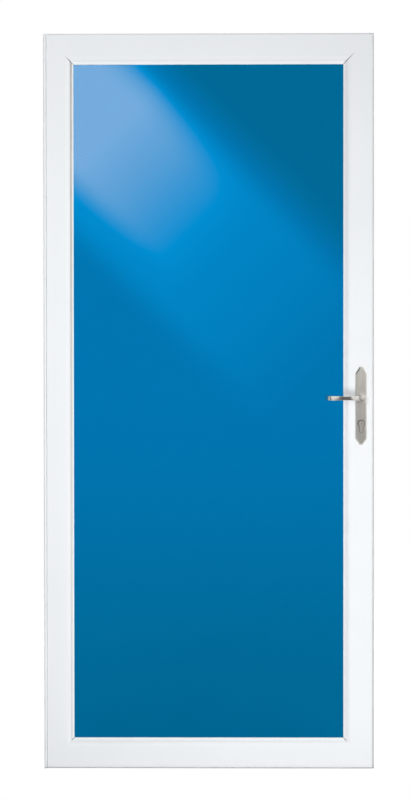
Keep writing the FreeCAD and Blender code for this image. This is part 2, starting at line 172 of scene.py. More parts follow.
def makeMottle():
    # soft clouds, 0 to 1, for colour and gloss that aren't quite even, and specks far smaller than the clouds
    look = mottleLook
    inputs = {"Size": ("NodeSocketFloat", 9.0), "Contrast": ("NodeSocketFloat", 1.0)}
    tree, given, result = newGroup("mottle", inputs, ("Cloud", "Speck"))
    point = objectPoint(tree)
    cloud = noiseAt(tree, point, given["Size"], detail=4.0)
    plug(tree, result["Cloud"], contrasted(tree, cloud, given["Contrast"], look["gain"]))
    speckSize = product(tree, given["Size"], look["speckScale"])
    plug(tree, result["Speck"], noiseAt(tree, point, speckSize, detail=2.0))
    return tree


rubLook = {"lean": (0.01, 0.2), "patch": (0.35, 0.65), "leastRub": 0.45}


def makeRubbedEdge():
    # 1 on sharp edges: the normal of a rounded copy leans away from the face's own normal there
    look = rubLook
    inputs = {"Width": ("NodeSocketFloat", 0.0008), "Patch Size": ("NodeSocketFloat", 60.0)}
    tree, given, result = newGroup("rubbedEdge", inputs, ("Rub",))
    rounded = addNode(tree, "ShaderNodeBevel", {"Radius": given["Width"]}, samples=4).outputs[0]
    lean = addNode(tree, "ShaderNodeVectorMath", operation="DOT_PRODUCT")
    plug(tree, lean.inputs[0], rounded)
    plug(tree, lean.inputs[1], addNode(tree, "ShaderNodeNewGeometry").outputs["Normal"])
    edge = fade(tree, reckon(tree, "SUBTRACT", 1.0, lean.outputs["Value"]), *look["lean"])
    patches = noiseAt(tree, objectPoint(tree), given["Patch Size"])
    patch = fade(tree, patches, *look["patch"], start=look["leastRub"])
    plug(tree, result["Rub"], product(tree, edge, patch))
    return tree


dustLook = {"ledge": (0.6, 0.95), "sillShare": 0.5, "grainSize": 140.0, "grains": (0.35, 0.75)}


def makeSettledDust():
    # thin dust: on faces that look up, and in a low band near the sill
    look = dustLook
    inputs = {"Sill Height": ("NodeSocketFloat", 0.10), "Amount": ("NodeSocketFloat", 0.5)}
    tree, given, result = newGroup("settledDust", inputs, ("Dust",))
    normal = addNode(tree, "ShaderNodeNewGeometry").outputs["Normal"]
    facing = addNode(tree, "ShaderNodeSeparateXYZ", {"Vector": normal}).outputs
    ledge = fade(tree, facing["Z"], *look["ledge"])
    low = reckon(tree, "DIVIDE", placeOf(tree)["Z"], given["Sill Height"])
    sill = product(tree, fade(tree, low, 0.0, 1.0, start=1.0, end=0.0), look["sillShare"])
    noise = noiseAt(tree, objectPoint(tree), look["grainSize"], detail=5.0, roughness=0.7)
    grains = fade(tree, noise, *look["grains"])
    plug(tree, result["Dust"], product(tree, reckon(tree, "MAXIMUM", ledge, sill), grains, given["Amount"]))
    return tree


# settings of the painted frame shade: a band beside the glazing joint and dark marks on the leaf's outline
frameShadeLook = {
    "front": -0.004, "pastJoint": 0.0005, "band": (0.15, 1.0), "side": (0.2, 0.7), "lockShare": 0.05,
    "height": (0.3, 1.7), "lowShare": 0.5, "streakSize": 24.0, "streak": (0.3, 0.7), "leastStreak": 0.8,
    "lockRim": (0.0035, 0.008), "lockHeight": 1.9, "lockShares": (0.80, 0.30),
    "footRim": (0.0015, 0.0045), "footAcross": (0.1, 0.6), "footLeast": 0.75,
    "thinRim": (0.0005, 0.003), "hingeShare": 0.4, "headShare": 0.08,
}


def makePaintedFrameShade():
    # painted shade, in two outputs. The first: a band on the uprights' front that grows towards the glazing
    # joint and stops there, most of it on the hinge side and high up. The second: dark marks along the leaf's
    # outline, most of them at the foot and on the lock side
    look = frameShadeLook
    inputs = {
        "Hinge Edge": ("NodeSocketFloat", 0.0), "Lock Edge": ("NodeSocketFloat", 0.9),
        "Foot": ("NodeSocketFloat", 0.0), "Head": ("NodeSocketFloat", 2.0),
        "Joint At": ("NodeSocketFloat", 0.077), "Reach": ("NodeSocketFloat", 0.006),
    }
    tree, given, result = newGroup("paintedFrameShade", inputs, ("Joint Shade", "Outline Shade"))
    place = placeOf(tree)
    fromHinge = reckon(tree, "SUBTRACT", place["X"], given["Hinge Edge"])
    fromLock = reckon(tree, "SUBTRACT", given["Lock Edge"], place["X"])
    fromFoot = reckon(tree, "SUBTRACT", place["Z"], given["Foot"])
    fromHead = reckon(tree, "SUBTRACT", given["Head"], place["Z"])
    fromSides = reckon(tree, "MINIMUM", fromHinge, fromLock)
    fromEnds = reckon(tree, "MINIMUM", fromFoot, fromHead)
    front = reckon(tree, "LESS_THAN", place["Y"], look["front"])
    noise = noiseAt(tree, objectPoint(tree), look["streakSize"])
    streak = fade(tree, noise, *look["streak"], start=look["leastStreak"])
    short = reckon(tree, "SUBTRACT", given["Joint At"], fromSides)
    before = reckon(tree, "GREATER_THAN", short, -look["pastJoint"])
    band = fade(tree, reckon(tree, "DIVIDE", short, given["Reach"]), *look["band"], start=1.0, end=0.0)
    upright = reckon(tree, "GREATER_THAN", fromEnds, fromSides)
    side = fade(tree, place["X"], *look["side"], start=1.0, end=look["lockShare"])
    height = fade(tree, place["Z"], *look["height"], start=look["lowShare"])
    plug(tree, result["Joint Shade"], product(tree, before, front, band, upright, side, height, streak))
    lower = fade(tree, fromFoot, 0.0, look["lockHeight"], *look["lockShares"], kind="LINEAR")
    lockRim = product(tree, fade(tree, fromLock, *look["lockRim"], start=1.0, end=0.0), lower)
    across = fade(tree, fromHinge, *look["footAcross"], start=look["footLeast"])
    footRim = product(tree, fade(tree, fromFoot, *look["footRim"], start=1.0, end=0.0), across)
    hingeRim = fade(tree, fromHinge, *look["thinRim"], start=look["hingeShare"], end=0.0)
    headRim = fade(tree, fromHead, *look["thinRim"], start=look["headShare"], end=0.0)
    sides = reckon(tree, "MAXIMUM", lockRim, hingeRim)
    rim = reckon(tree, "MAXIMUM", sides, reckon(tree, "MAXIMUM", footRim, headRim))
    plug(tree, result["Outline Shade"], product(tree, rim, front, streak))
    return tree


brushing = makeBrushing()
mottle = makeMottle()
rubbedEdge = makeRubbedEdge()
settledDust = makeSettledDust()
paintedFrameShade = makePaintedFrameShade()
print("shared effects ready")


# Finishes

def newFinish(name, **fixed):
    # fixed values go straight on the shader's own sockets
    material = bpy.data.materials.new(name)
    material.use_nodes = True
    tree = material.node_tree
    shader = tree.nodes["Principled BSDF"]
    for label, value in fixed.items():
        shader.inputs[label.replace("_", " ")].default_value = value
    return material, tree, shader.inputs


def addBump(tree, sockets, height, strength, distance):
    bump = addNode(tree, "ShaderNodeBump", {"Height": height, "Strength": strength, "Distance": distance})
    plug(tree, sockets["Normal"], bump.outputs[0])


# the two darkest colours are painted shade: one beside the glazing joint, one along the leaf's outline
enamelLook = {
    "white": (0.868, 0.888, 0.902, 1.0), "shade": (0.836, 0.858, 0.876, 1.0),
    "rubbed": (0.90, 0.91, 0.915, 1.0), "dust": (0.60, 0.59, 0.56, 1.0), "paintedShade": (0.47, 0.445, 0.41, 1.0),
    "outlineShade": (0.42, 0.42, 0.42, 1.0), "cloudSize": 3.0, "roughness": (0.40, 0.30), "rubShare": 0.5,
    "dustMatt": 0.4, "peelSize": 900.0, "peelBump": 0.25, "peelDepth": 0.00004,
}


def makeWhiteEnamel():
    look = enamelLook
    material, tree, sockets = newFinish("whiteEnamel", Specular_IOR_Level=0.45)
    cloud = useGroup(tree, mottle, {"Size": look["cloudSize"], "Contrast": 0.9})["Cloud"]
    rub = useGroup(tree, rubbedEdge, {"Width": 0.0006, "Patch Size": 45.0})["Rub"]
    dust = useGroup(tree, settledDust, {"Sill Height": 0.03, "Amount": 0.16})["Dust"]
    # painted shade from the frame group: a band beside the glazing joint and dark marks on the leaf's outline
    paintedShade = useGroup(tree, paintedFrameShade, {**leafEdges, "Joint At": 0.077, "Reach": 0.003})
    paint = mixColour(tree, cloud, look["shade"], look["white"])
    worn = mixColour(tree, product(tree, rub, look["rubShare"]), paint, look["rubbed"])
    dusty = mixColour(tree, dust, worn, look["dust"])
    outlineShade = mixColour(tree, paintedShade["Outline Shade"], dusty, look["outlineShade"])
    plug(tree, sockets["Base Color"], mixColour(tree, paintedShade["Joint Shade"], outlineShade, look["paintedShade"]))
    clean = fade(tree, cloud, 0.0, 1.0, *look["roughness"], kind="LINEAR")
    matt = reckon(tree, "ADD", clean, product(tree, dust, look["dustMatt"]), clamp=True)
    plug(tree, sockets["Roughness"], matt)
    peel = noiseAt(tree, objectPoint(tree), look["peelSize"], detail=1.0)
    addBump(tree, sockets, peel, look["peelBump"], look["peelDepth"])
    return material


# its darkest colour is painted shade beside the glazing joint
vinylLook = {
    "white": (0.925, 0.95, 0.965, 1.0), "aged": (0.895, 0.92, 0.94, 1.0), "paintedShade": (0.50, 0.475, 0.44, 1.0),
    "cloudSize": 6.0, "speck": (0.3, 0.7), "roughness": (0.38, 0.5),
    "ribs": 420.0, "ribBump": 0.3, "ribDepth": 0.00006,
}


def makeWhiteVinyl():
    look = vinylLook
    material, tree, sockets = newFinish("whiteVinyl", Specular_IOR_Level=0.4)
    cloud = useGroup(tree, mottle, {"Size": look["cloudSize"], "Contrast": 1.0})
    # painted shade: the band beside the glazing joint darkens the gasket at the joint
    paintedShade = useGroup(tree, paintedFrameShade, {**leafEdges, "Joint At": 0.080, "Reach": 0.004})
    vinyl = mixColour(tree, cloud["Cloud"], look["aged"], look["white"])
    plug(tree, sockets["Base Color"], mixColour(tree, paintedShade["Joint Shade"], vinyl, look["paintedShade"]))
    plug(tree, sockets["Roughness"], fade(tree, cloud["Speck"], *look["speck"], *look["roughness"]))
    addBump(tree, sockets, noiseAt(tree, objectPoint(tree), look["ribs"]), look["ribBump"], look["ribDepth"])
    return material


sealLook = {
    "pile": (0.60, 0.605, 0.61, 1.0), "tips": (0.80, 0.805, 0.81, 1.0), "dust": (0.62, 0.61, 0.59, 1.0),
    "tuftSize": 1500.0, "tipReach": 0.7, "tuftBump": 0.6, "tuftDepth": 0.0004,
}


def makeGreySeal():
    # woven pile: close tufts, paler at their tips
    look = sealLook
    material, tree, sockets = newFinish("greySeal", Roughness=0.85, Sheen_Weight=0.25, Sheen_Roughness=0.5)
    tuft = addNode(tree, "ShaderNodeTexVoronoi", {"Vector": objectPoint(tree), "Scale": look["tuftSize"]})
    tip = fade(tree, tuft.outputs["Distance"], 0.0, look["tipReach"], start=1.0, end=0.0)
    cloud = useGroup(tree, mottle, {"Size": 25.0, "Contrast": 1.2})["Cloud"]
    pile = mixColour(tree, product(tree, tip, cloud), look["pile"], look["tips"])
    dust = useGroup(tree, settledDust, {"Sill Height": 0.05, "Amount": 0.45})["Dust"]
    plug(tree, sockets["Base Color"], mixColour(tree, dust, pile, look["dust"]))
    addBump(tree, sockets, tip, look["tuftBump"], look["tuftDepth"])
    return material


glassLook = {"tint": (0.0005, 0.150, 0.322, 1.0), "deepTint": (0.0003, 0.143, 0.312, 1.0), "cloudSize": 1.6}


def makeBlueGlass():
    # body-tinted float: white seen through it comes out as the tint, and the faces keep a clear gloss
    look = glassLook
    material, tree, sockets = newFinish("blueGlass", Transmission_Weight=1.0, IOR=1.46, Roughness=0.0)
    cloud = useGroup(tree, mottle, {"Size": look["cloudSize"], "Contrast": 0.8})["Cloud"]
    plug(tree, sockets["Base Color"], mixColour(tree, cloud, look["deepTint"], look["tint"]))
    return material


nickelLook = {
    "plate": {"metal": (0.72, 0.69, 0.645, 1.0), "line": (0.60, 0.575, 0.535, 1.0),
              "roughness": (0.34, 0.23), "squeeze": (2600.0, 2600.0, 40.0)},
    # painted light: the lever's copy of the nickel is paler than the plate's, to lift its highlights
    "lever": {"metal": (0.80, 0.775, 0.735, 1.0), "line": (0.69, 0.665, 0.625, 1.0),
              "roughness": (0.28, 0.20), "squeeze": (45.0, 2200.0, 2200.0)},
    "rubbed": (0.82, 0.795, 0.755, 1.0), "keyShadow": (0.13, 0.125, 0.12, 1.0), "lineShare": 0.7,
    "cloudShare": 0.3, "satin": (0.2, 0.8), "rubShare": 0.6, "rubGloss": 0.08, "lineBump": 0.35,
    "lineDepth": 0.00002,
    "keyRound": 0.0085, "keyTail": 0.005, "keyDrop": 0.0195, "keyOff": 0.0009, "keyRing": (0.0005, 0.0018),
    "keyLean": (-0.008, 0.010), "keyLeast": 0.15,
}


def keyPaintedShadow(tree):
    # painted shadow: a dark line round the key cylinder, most of it at its upper left; its mask is the distance to
    # a round head and to a narrower tail below it, whichever is less
    look = nickelLook
    place = placeOf(tree)
    across = reckon(tree, "SUBTRACT", place["X"], pivots["lock_turn"].x)
    up = reckon(tree, "SUBTRACT", place["Z"], pivots["lock_turn"].z)
    onTail = reckon(tree, "MAXIMUM", reckon(tree, "MINIMUM", up, 0.0), -look["keyDrop"])
    away = []
    for height, radius in ((up, look["keyRound"]), (reckon(tree, "SUBTRACT", up, onTail), look["keyTail"])):
        squares = reckon(tree, "ADD", reckon(tree, "POWER", across, 2.0), reckon(tree, "POWER", height, 2.0))
        away.append(reckon(tree, "SUBTRACT", reckon(tree, "SQRT", squares), radius))
    off = reckon(tree, "ABSOLUTE", reckon(tree, "SUBTRACT", reckon(tree, "MINIMUM", *away), look["keyOff"]))
    ring = fade(tree, off, *look["keyRing"], start=1.0, end=0.0)
    lean = fade(tree, reckon(tree, "SUBTRACT", up, across), *look["keyLean"], start=look["keyLeast"])
    return product(tree, ring, lean)


def makeNickel(name, kind):
    look = {**nickelLook, **nickelLook[kind]}
    material, tree, sockets = newFinish(name, Metallic=1.0)
    lines = useGroup(tree, brushing, {"Squeeze": look["squeeze"], "Contrast": 0.75})["Lines"]
    cloud = useGroup(tree, mottle, {"Size": 35.0, "Contrast": 0.8})["Cloud"]
    rub = useGroup(tree, rubbedEdge, {"Width": 0.0007, "Patch Size": 120.0})["Rub"]
    share = weighted(tree, lines, look["lineShare"], cloud, look["cloudShare"])
    brushed = mixColour(tree, share, look["line"], look["metal"])
    worn = mixColour(tree, product(tree, rub, look["rubShare"]), brushed, look["rubbed"])
    # painted shadow round the key cylinder, darkest at its upper left
    plug(tree, sockets["Base Color"], mixColour(tree, keyPaintedShadow(tree), worn, look["keyShadow"]))
    satin = fade(tree, share, *look["satin"], *look["roughness"], kind="LINEAR")
    plug(tree, sockets["Roughness"], reckon(tree, "SUBTRACT", satin, product(tree, rub, look["rubGloss"])))
    addBump(tree, sockets, lines, look["lineBump"], look["lineDepth"])
    return material


steelLook = {
    "metal": (0.58, 0.585, 0.59, 1.0), "line": (0.44, 0.445, 0.455, 1.0), "rubbed": (0.72, 0.72, 0.72, 1.0),
    "rubShare": 0.7, "roughness": (0.22, 0.38), "squeeze": (1800.0, 1800.0, 90.0),
    "lineBump": 0.3, "lineDepth": 0.00002,
}


def makeLockSteel():
    look = steelLook
    material, tree, sockets = newFinish("lockSteel", Metallic=1.0)
    lines = useGroup(tree, brushing, {"Squeeze": look["squeeze"], "Contrast": 0.6})["Lines"]
    cloud = useGroup(tree, mottle, {"Size": 60.0, "Contrast": 1.2})["Cloud"]
    rub = useGroup(tree, rubbedEdge, {"Width": 0.0005, "Patch Size": 150.0})["Rub"]
    drawn = mixColour(tree, lines, look["line"], look["metal"])
    worn = mixColour(tree, product(tree, rub, look["rubShare"]), drawn, look["rubbed"])
    plug(tree, sockets["Base Color"], worn)
    plug(tree, sockets["Roughness"], fade(tree, cloud, 0.0, 1.0, *look["roughness"]))
    addBump(tree, sockets, lines, look["lineBump"], look["lineDepth"])
    return material


jointLook = {
    "dark": (0.24, 0.245, 0.25, 1.0), "paint": (0.84, 0.86, 0.875, 1.0), "closing": (0.14, 0.36),
    "grit": 0.15,
    # the glazing seam's dark colour is painted shade
    "seamShade": (0.36, 0.345, 0.32, 1.0), "clean": (0.74, 0.755, 0.765, 1.0), "seamHeight": (0.5, 1.7),
    "leastSeam": 0.35, "leastStreak": 0.65,
}


def makeMitreJoint():
    # the joint stands open at the glass and closes towards the leaf's corner; u of its own map runs outwards
    look = jointLook
    material, tree, sockets = newFinish("mitreJoint", Roughness=0.6)
    ownMap = addNode(tree, "ShaderNodeTexCoord").outputs["UV"]
    along = addNode(tree, "ShaderNodeSeparateXYZ", {"Vector": ownMap}).outputs["X"]
    grit = useGroup(tree, mottle, {"Size": 220.0, "Contrast": 0.6})["Cloud"]
    closing = fade(tree, along, *look["closing"])
    share = reckon(tree, "ADD", closing, product(tree, grit, look["grit"]), clamp=True)
    plug(tree, sockets["Base Color"], mixColour(tree, share, look["dark"], look["paint"]))
    return material


def makePaintedSeamShade():
    # painted shade beside the gasket: a dark bead in the joint, more of it towards the top
    look = jointLook
    material, tree, sockets = newFinish("paintedSeamShade", Roughness=0.7)
    cloud = useGroup(tree, mottle, {"Size": 14.0, "Contrast": 0.7})["Cloud"]
    streak = fade(tree, cloud, 0.0, 1.0, start=look["leastStreak"], kind="LINEAR")
    height = fade(tree, placeOf(tree)["Z"], *look["seamHeight"], start=look["leastSeam"])
    paintedShade = product(tree, height, streak)
    plug(tree, sockets["Base Color"], mixColour(tree, paintedShade, look["clean"], look["seamShade"]))
    return material


whiteEnamel = makeWhiteEnamel()
whiteVinyl = makeWhiteVinyl()
greySeal = makeGreySeal()
blueGlass = makeBlueGlass()
nickelUpright = makeNickel("nickelUpright", "plate")
nickelAlong = makeNickel("nickelAlong", "lever")
lockSteel = makeLockSteel()
mitreJoint = makeMitreJoint()
paintedSeamShade = makePaintedSeamShade()
finishOf = {
    "white_enamel": whiteEnamel, "white_vinyl": whiteVinyl, "grey_seal": greySeal, "blue_glass": blueGlass,
    "brushed_nickel": nickelUpright, "lock_steel": lockSteel,
}
for nodeName, nodeObject in frame["nodes"].items():
    nodeObject.data.materials.clear()
    nodeObject.data.materials.append(finishOf[slotOf[nodeName]])
print("finishes on", len(frame["nodes"]), "CAD nodes")


# Surfaces from arrays

weldReach, sliverWidth = 2e-6, 1e-7    # metres


def smoothStep(value, low, high):
    # 0 below low, 1 above high and an S-shaped rise between
    held = np.clip((value - low) / (high - low), 0.0, 1.0)
    return held * held * (3.0 - 2.0 * held)


def fullTurn(steps):
    # even angles of one turn, without its end
    return np.linspace(0.0, 2.0 * np.pi, steps, endpoint=False)


def gridPoints(x, y, z):
    # x, y and z spread over one grid, as a list of points row by row
    return np.stack(np.broadcast_arrays(x, y, z), axis=-1).reshape(-1, 3)


def layQuads(rows, columns, wrapRows=False, wrapColumns=False):
    # four neighbours of a rows x columns grid make a face; a wrapped side joins its last line to its first
    index = np.arange(rows * columns).reshape(rows, columns)
    if wrapRows:
        index = np.vstack([index, index[:1]])
    if wrapColumns:
        index = np.hstack([index, index[:, :1]])
    corners = (index[:-1, :-1], index[1:, :-1], index[1:, 1:], index[:-1, 1:])
    return np.stack(corners, axis=-1).reshape(-1, 4)


def putPiece(name, surfaces, finish, body, replaced=(), crease=40.0, mapped=None):
    # surfaces are (points, quads) pairs in metres; mapped gives u, v for each point
    counts = np.cumsum([0] + [len(points) for points, quads in surfaces])
    points = np.concatenate([points for points, quads in surfaces])
    quads = np.concatenate([quads + start for (_, quads), start in zip(surfaces, counts)])
    mesh = bpy.data.meshes.new(name)
    mesh.vertices.add(len(points))
    mesh.vertices.foreach_set("co", points.astype(np.float32).ravel())
    mesh.loops.add(quads.size)
    mesh.loops.foreach_set("vertex_index", quads.astype(np.int32).ravel())
    mesh.polygons.add(len(quads))
    mesh.polygons.foreach_set("loop_start", np.arange(0, quads.size, 4, dtype=np.int32))
    if mapped is not None:
        layer = mesh.uv_layers.new(name="along")
        layer.data.foreach_set("uv", mapped[quads.ravel()].astype(np.float32).ravel())
    mesh.update(calc_edges=True)
    work = bmesh.new()
    work.from_mesh(mesh)
    bmesh.ops.remove_doubles(work, verts=work.verts, dist=weldReach)
    bmesh.ops.dissolve_degenerate(work, edges=work.edges, dist=sliverWidth)
    bmesh.ops.recalc_face_normals(work, faces=work.faces)
    work.to_mesh(mesh)
    work.free()
    mesh.shade_smooth()
    mesh.set_sharp_from_angle(angle=math.radians(crease))
    mesh.materials.append(finish)
    piece = bpy.data.objects.new(name, mesh)
    bpy.context.scene.collection.objects.link(piece)
    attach(piece, body)
    if replaced:
        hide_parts(*replaced)
    return piece


def arcLine(centre, radius, start, end, count):
    # points of a circle's arc in a plane, from one angle to another in degrees
    angle = np.radians(np.linspace(start, end, count))
    return np.stack([centre[0] + radius * np.cos(angle), centre[1] + radius * np.sin(angle)], axis=1)


def turnProfile(profile, centre, outward, steps, closed=False):
    # a profile of (radius, height) in mm carried round the Y axis through centre; outward is -1 or 1
    angle = fullTurn(steps)
    radius, height = profile[:, 0, None] * mm, profile[:, 1, None] * mm
    x = centre[0] + radius * np.cos(angle)
    z = centre[1] + radius * np.sin(angle)
    return gridPoints(x, outward * height, z), layQuads(len(profile), steps, closed, True)


# Levers and roses

leverLook = {
    "slopes": (7.0, -8.0, 7.5), "turns": ((24.0, 34.0), (55.0, 82.0)), "bend": (84.5, 96.5),
    "returnAngle": 93.0, "length": 109.5, "noseLength": 6.0, "insideReach": 0.87, "rise": 34.5,
    "halfDepth": 4.1, "tipDepth": 3.3, "rootHeight": 7.6, "waistHeight": 5.3, "endHeight": 6.2,
    "rootLength": 19.0, "endSwell": (45.0, 80.0), "corner": 7.0, "rows": 150, "columns": 40,
    "neck": 8.3, "neckTop": 46.0, "head": 10.6, "headLow": 51.0, "headTop": 67.0, "rim": 1.3, "dome": 0.15,
    "domeEdge": 7.5, "groove": 8.0, "grooveMouth": 0.45, "grooveFloor": 0.2, "grooveDepth": 0.5, "foot": 26.4,
    "turnSteps": 64, "coveSteps": 9, "rimSteps": 7, "domeSteps": 6,
}
roseLook = {
    "bore": 8.9, "innerEdge": 0.5, "outer": 11.5, "foot": 26.02, "top": 30.0, "rim": 1.7, "turnSteps": 72,
    "rimSteps": 8, "edgeSteps": 4,
}
leverAxis = (pivots["lever_turn"].x, pivots["lever_turn"].z)
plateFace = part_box("inside_plate")[1].y / mm


def leverArm(outward, reach):
    # centre line, with s the length along it: its slope is up, down and up again with smooth turns between,
    # and past the bend it becomes a leg back to the plate; u runs along the arm and v stands off the plate,
    # sums of the slope's cosine and sine; reach draws u in
    look = leverLook
    s = np.linspace(0.0, look["length"], look["rows"])
    bent = smoothStep(s, *look["bend"])
    (out, back, end), (first, second) = look["slopes"], look["turns"]
    wave = out + (back - out) * smoothStep(s, *first) + (end - back) * smoothStep(s, *second)
    slope = np.radians(wave * (1.0 - bent) - look["returnAngle"] * bent)
    step = s[1] - s[0]
    u = np.concatenate([[0.0], np.cumsum(np.cos(slope[:-1]) * step)])
    v = look["rise"] + np.concatenate([[0.0], np.cumsum(np.sin(slope[:-1]) * step)])
    # section: a superellipse, tall at the hub, slim at the waist; the root is a flat end and a half ellipse
    # closes the nose
    nose = np.clip((s - look["length"] + look["noseLength"]) / look["noseLength"], 0.0, 1.0)
    size = np.sqrt(1.0 - nose * nose)
    size[0] = 0.0
    u[1], v[1] = u[0], v[0]
    root = (look["rootHeight"] - look["waistHeight"]) * np.exp(-(s / look["rootLength"]) ** 2)
    swell = (look["endHeight"] - look["waistHeight"]) * smoothStep(s, *look["endSwell"])
    height = (look["waistHeight"] + root + swell) * size
    depth = (look["halfDepth"] + (look["tipDepth"] - look["halfDepth"]) * bent) * size
    angle = fullTurn(look["columns"])
    power = 2.0 / look["corner"]
    across = np.sign(np.cos(angle)) * np.abs(np.cos(angle)) ** power
    upright = np.sign(np.sin(angle)) * np.abs(np.sin(angle)) ** power
    offset = depth[:, None] * across
    x = leverAxis[0] - mm * (reach * u[:, None] - np.sin(slope)[:, None] * offset)
    y = outward * mm * (plateFace + v[:, None] + np.cos(slope)[:, None] * offset)
    z = leverAxis[1] + mm * height[:, None] * upright
    return gridPoints(x, y, z), layQuads(look["rows"], look["columns"], False, True)


def leverHub(outward):
    # profile: neck, cove up to a wider head, rounded rim, a ring groove and a faint dome
    look = leverLook
    cove = np.linspace(0.0, 1.0, look["coveSteps"])
    coveRadius = look["neck"] + (look["head"] - look["neck"]) * smoothStep(cove, 0.0, 1.0)
    coveHeight = look["neckTop"] + (look["headLow"] - look["neckTop"]) * cove
    rimCentre = (look["head"] - look["rim"], look["headTop"] - look["rim"])
    rim = arcLine(rimCentre, look["rim"], 0.0, 90.0, look["rimSteps"])
    mouth, floor = look["grooveMouth"], look["grooveFloor"]
    groove = look["groove"] + np.array([mouth, floor, -floor, -mouth])
    sunk = look["headTop"] - np.array([0.0, 1.0, 1.0, 0.0]) * look["grooveDepth"]
    dome = np.linspace(look["domeEdge"], 0.0, look["domeSteps"])
    domeTop = look["headTop"] + look["dome"] * (1.0 - (dome / look["groove"]) ** 2)
    profile = np.concatenate([
        [(0.0, look["foot"]), (look["neck"], look["foot"])],
        np.stack([coveRadius, coveHeight], axis=1),
        rim,
        np.stack([groove, sunk], axis=1),
        np.stack([dome, domeTop], axis=1),
    ])
    return turnProfile(profile, leverAxis, outward, look["turnSteps"])


def roseRing():
    # closed ring: flat foot, upright side, quarter-round rim and a small inner edge
    look = roseLook
    edge = look["innerEdge"]
    rimCentre = (look["outer"] - look["rim"], look["top"] - look["rim"])
    rim = arcLine(rimCentre, look["rim"], 0.0, 90.0, look["rimSteps"])
    inner = arcLine((look["bore"] + edge, look["top"] - edge), edge, 90.0, 180.0, look["edgeSteps"])
    foot = [(look["bore"], look["foot"]), (look["outer"], look["foot"])]
    return np.concatenate([foot, rim, inner])


for side, outward, reach in (("outside", -1.0, 1.0), ("inside", 1.0, leverLook["insideReach"])):
    handle = [leverArm(outward, reach), leverHub(outward)]
    putPiece(side + "_waved_lever", handle, nickelAlong, "lever_set", [side + "_lever"])
    ring = turnProfile(roseRing(), leverAxis, outward, roseLook["turnSteps"], closed=True)
    putPiece(side + "_round_rose", [ring], nickelUpright, "leaf", [side + "_rose"])
print("levers and roses made")


# Screw heads

screwLook = {
    "rings": 12, "steps": 40, "slotHalf": 0.16, "slotSoft": 0.03, "slotReach": 0.62, "reachSoft": 0.06,
    "slotDepth": 0.75, "rimShare": 0.35, "domeTurn": 0.98, "sink": 0.25,
    "rail": {"radius": 3.2, "proud": 0.9}, "hinge": {"radius": 3.0, "proud": 0.4},
    "lock": {"radius": 3.2, "proud": 0.4}, "plate": {"radius": 3.6, "proud": 0.8},
}


def screwHeads(places, facing, kind):
    # polar grid: height = dome(r) less a cross whose two slots are |r sin| and |r cos| bands; a skirt and a
    # flat foot under the face close it. facing is the way the heads look, places their centres in metres
    look = {**screwLook, **screwLook[kind]}
    r = np.concatenate([np.linspace(0.0, 1.0, look["rings"]), [1.0, 0.0]])[:, None]
    angle = fullTurn(look["steps"])[None, :]
    fromSlot = np.minimum(np.abs(r * np.sin(angle)), np.abs(r * np.cos(angle)))
    band = smoothStep(look["slotHalf"] - fromSlot, -look["slotSoft"], look["slotSoft"])
    inside = smoothStep(look["slotReach"] - r, -look["reachSoft"], look["reachSoft"])
    dome = np.sqrt(np.clip(1.0 - look["domeTurn"] * r * r, 0.0, 1.0))
    top = look["rimShare"] + (1.0 - look["rimShare"]) * dome - look["slotDepth"] * band * inside
    height = np.where(np.arange(len(r))[:, None] < look["rings"], top * look["proud"], -look["sink"])
    axis = Vector(facing)
    first = axis.orthogonal().normalized()
    second = axis.cross(first)
    ring = np.cos(angle)[..., None] * np.array(first) + np.sin(angle)[..., None] * np.array(second)
    head = (look["radius"] * r[..., None] * ring + height[..., None] * np.array(axis)) * mm
    quads = layQuads(len(r), look["steps"], False, True)
    return [(head.reshape(-1, 3) + np.array(place), quads) for place in places]


railScrews = {"wall": 2.0, "depth": 18.0, "middle": 1015.0, "rows": (185.0, 555.0, 925.0), "headRow": 305.0}


def railHeads():
    look = railScrews
    wall, depth = look["wall"] * mm, look["depth"] * mm
    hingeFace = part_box("hinge_rail")[0].x + wall
    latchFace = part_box("latch_rail")[1].x - wall
    headLow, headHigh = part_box("head_rail")
    headMiddle = (headLow.x + headHigh.x) / 2.0
    headRow = look["headRow"] * mm
    rows = [(look["middle"] + way * row) * mm for row in look["rows"] for way in (-1.0, 1.0)]
    hingeSide = [(hingeFace, depth, row) for row in rows]
    latchSide = [(latchFace, depth, row) for row in rows]
    headSide = [(headMiddle + way * headRow, depth, headHigh.z - wall) for way in (-1.0, 1.0)]
    return (screwHeads(hingeSide, (1, 0, 0), "rail") + screwHeads(latchSide, (-1, 0, 0), "rail")
            + screwHeads(headSide, (0, 0, -1), "rail"))


hingeScrews = {"frameFace": 3.2, "doorFace": 6.8, "depth": 0.4, "low": 100.0, "high": 1930.0, "count": 9,
               "stagger": 30.0}


def hingeHeads(face, shift, facing):
    look = hingeScrews
    rows = np.linspace(look["low"], look["high"], look["count"]) + shift
    return screwHeads([(face * mm, look["depth"] * mm, row * mm) for row in rows], facing, "hinge")


lockScrews = {"strike": (13.0, 13.0), "face": (9.0, 9.0), "plate": (24.0, 30.0)}    # from foot, from top


def endHeads(node, facing, kind, ends):
    # one head near each end of an upright plate, midway on the face that looks along facing
    low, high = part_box(node)
    middle, half = (low + high) / 2.0, (high - low) / 2.0
    x, y = middle.x + facing[0] * half.x, middle.y + facing[1] * half.y
    places = [(x, y, low.z + ends[0] * mm), (x, y, high.z - ends[1] * mm)]
    return screwHeads(places, facing, kind)


